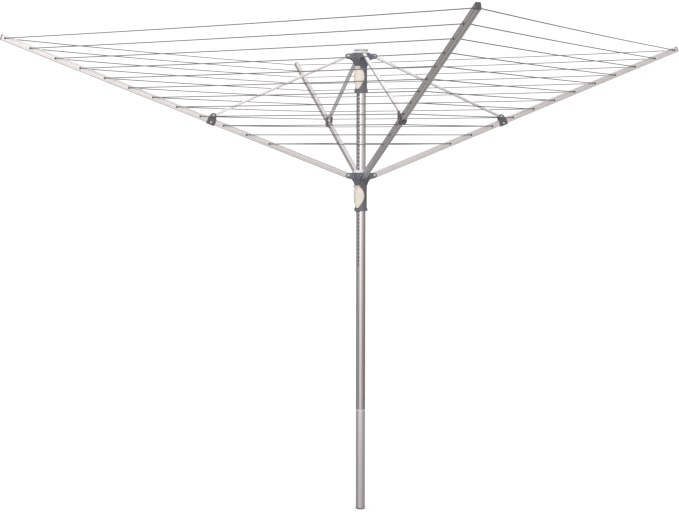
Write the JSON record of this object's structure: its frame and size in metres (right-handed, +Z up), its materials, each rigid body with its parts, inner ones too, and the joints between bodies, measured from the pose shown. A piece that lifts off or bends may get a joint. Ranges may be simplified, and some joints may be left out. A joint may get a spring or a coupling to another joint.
{
  "type": "rotary clothesline",
  "caption": "Folding rotary clothesline: hinged arms on sliding hubs, held by struts, carry squares of drying line around a turning aluminium mast.",
  "frame": {"origin": "centre of the mast's foot, on the flat bottom face of the foot plug", "axes": "+Z up along the mast, +X, +Y, -X and -Y along the open arms"},
  "size_m": [2.36, 2.36, 1.6317],
  "materials": {
    "aluminium_tube": "satin drawn tube",
    "arm_aluminium": "satin extrusion",
    "hub_plastic": "moulded, purple-grey",
    "lever_plastic": "smooth cream",
    "cap_plastic": "moulded, light grey",
    "bracket_plastic": "moulded, grey",
    "end_cap_plastic": "moulded, dark grey",
    "bush_plastic": "natural",
    "pin_steel": "plated",
    "line_cord": "sheathed cord, satin"
  },
  "bodies": {
    "lower_mast": {"lower_mast": "aluminium_tube", "mast_foot_plug": "end_cap_plastic", "mast_spindle": "pin_steel", "mast_joint_bush": "bush_plastic"},
    "upper_mast": {"upper_mast": "aluminium_tube", "spindle_sleeve": "bush_plastic", "mast_top_cap": "cap_plastic"},
    "upper_hub": {"upper_hub": "hub_plastic", "upper_lever_pin": "pin_steel", "drying_line": "line_cord", "strut_top_pin_1": "pin_steel", "strut_top_pin_2": "pin_steel", "strut_top_pin_3": "pin_steel", "strut_top_pin_4": "pin_steel"},
    "upper_lever": {"upper_lever": "lever_plastic"},
    "upper_pawl": {"upper_lock_pawl": "pin_steel"},
    "lower_hub": {"lower_hub": "hub_plastic", "lower_lever_pin": "pin_steel", "arm_pin_1": "pin_steel", "arm_pin_2": "pin_steel", "arm_pin_3": "pin_steel", "arm_pin_4": "pin_steel"},
    "lower_lever": {"lower_lever": "lever_plastic"},
    "lower_pawl": {"lower_lock_pawl": "pin_steel"},
    "strut_1": {"strut_1": "arm_aluminium"},
    "arm_1": {"arm_1": "arm_aluminium", "end_cap_1": "end_cap_plastic", "bracket_1": "bracket_plastic", "bracket_rivet_1": "pin_steel", "strut_foot_pin_1": "pin_steel"},
    "strut_2": {"strut_2": "arm_aluminium"},
    "arm_2": {"arm_2": "arm_aluminium", "end_cap_2": "end_cap_plastic", "bracket_2": "bracket_plastic", "bracket_rivet_2": "pin_steel", "strut_foot_pin_2": "pin_steel"},
    "strut_3": {"strut_3": "arm_aluminium"},
    "arm_3": {"arm_3": "arm_aluminium", "end_cap_3": "end_cap_plastic", "bracket_3": "bracket_plastic", "bracket_rivet_3": "pin_steel", "strut_foot_pin_3": "pin_steel"},
    "strut_4": {"strut_4": "arm_aluminium"},
    "arm_4": {"arm_4": "arm_aluminium", "end_cap_4": "end_cap_plastic", "bracket_4": "bracket_plastic", "bracket_rivet_4": "pin_steel", "strut_foot_pin_4": "pin_steel"}
  },
  "joints": [
    {"name": "mast_spin", "type": "hinge", "parent": "lower_mast", "child": "upper_mast", "pos_m": [0, 0, 0.355], "axis": [0, 0, 1], "continuous": true},
    {"name": "height_slide", "type": "slide", "parent": "upper_mast", "child": "upper_hub", "axis": [0, 0, 1], "range_m": [-0.0924, 0]},
    {"name": "canopy_fold", "type": "hinge", "parent": "upper_hub", "child": "strut_1", "pos_m": [0.046, 0, 1.579], "axis": [0, 1, 0], "range_deg": [0, 64], "deforming": ["drying_line"]},
    {"name": "arm_1_on_strut", "type": "hinge", "parent": "strut_1", "child": "arm_1", "pos_m": [0.505, 0, 1.377], "axis": [0, 1, 0], "range_deg": [-128, 0]},
    {"name": "lower_hub_on_arm_1", "type": "hinge", "parent": "arm_1", "child": "lower_hub", "pos_m": [0.046, 0, 1.175], "axis": [0, 1, 0], "range_deg": [0, 64]},
    {"name": "strut_2_fold", "type": "hinge", "parent": "upper_hub", "child": "strut_2", "pos_m": [0, 0.046, 1.579], "axis": [-1, 0, 0], "range_deg": [0, 64]},
    {"name": "arm_2_fold", "type": "hinge", "parent": "lower_hub", "child": "arm_2", "pos_m": [0, 0.046, 1.175], "axis": [-1, 0, 0], "range_deg": [-64, 0]},
    {"name": "strut_3_fold", "type": "hinge", "parent": "upper_hub", "child": "strut_3", "pos_m": [-0.046, 0, 1.579], "axis": [0, -1, 0], "range_deg": [0, 64]},
    {"name": "arm_3_fold", "type": "hinge", "parent": "lower_hub", "child": "arm_3", "pos_m": [-0.046, 0, 1.175], "axis": [0, -1, 0], "range_deg": [-64, 0]},
    {"name": "strut_4_fold", "type": "hinge", "parent": "upper_hub", "child": "strut_4", "pos_m": [0, -0.046, 1.579], "axis": [1, 0, 0], "range_deg": [0, 64]},
    {"name": "arm_4_fold", "type": "hinge", "parent": "lower_hub", "child": "arm_4", "pos_m": [0, -0.046, 1.175], "axis": [1, 0, 0], "range_deg": [-64, 0]},
    {"name": "upper_lever_lift", "type": "hinge", "parent": "upper_hub", "child": "upper_lever", "pos_m": [-0.01711, -0.01711, 1.5415], "axis": [-0.7071, 0.7071, 0], "range_deg": [0, 70]},
    {"name": "upper_pawl_slide", "type": "slide", "parent": "upper_hub", "child": "upper_pawl", "axis": [-0.7071, -0.7071, 0], "range_m": [0, 0.0036]},
    {"name": "lower_lever_lift", "type": "hinge", "parent": "lower_hub", "child": "lower_lever", "pos_m": [-0.01711, -0.01711, 1.1375], "axis": [-0.7071, 0.7071, 0], "range_deg": [0, 70]},
    {"name": "lower_pawl_slide", "type": "slide", "parent": "lower_hub", "child": "lower_pawl", "axis": [-0.7071, -0.7071, 0], "range_m": [0, 0.0036]}
  ],
  "couplings": [
    {"joint": "arm_1_on_strut", "follows": "canopy_fold", "ratio": -2},
    {"joint": "lower_hub_on_arm_1", "follows": "canopy_fold", "ratio": 1},
    {"joint": "strut_2_fold", "follows": "canopy_fold", "ratio": 1},
    {"joint": "arm_2_fold", "follows": "canopy_fold", "ratio": -1},
    {"joint": "strut_3_fold", "follows": "canopy_fold", "ratio": 1},
    {"joint": "arm_3_fold", "follows": "canopy_fold", "ratio": -1},
    {"joint": "strut_4_fold", "follows": "canopy_fold", "ratio": 1},
    {"joint": "arm_4_fold", "follows": "canopy_fold", "ratio": -1},
    {"joint": "upper_pawl_slide", "follows": "upper_lever_lift", "m_per_rad": 0.0028648},
    {"joint": "lower_pawl_slide", "follows": "lower_lever_lift", "m_per_rad": 0.0028648}
  ]
}
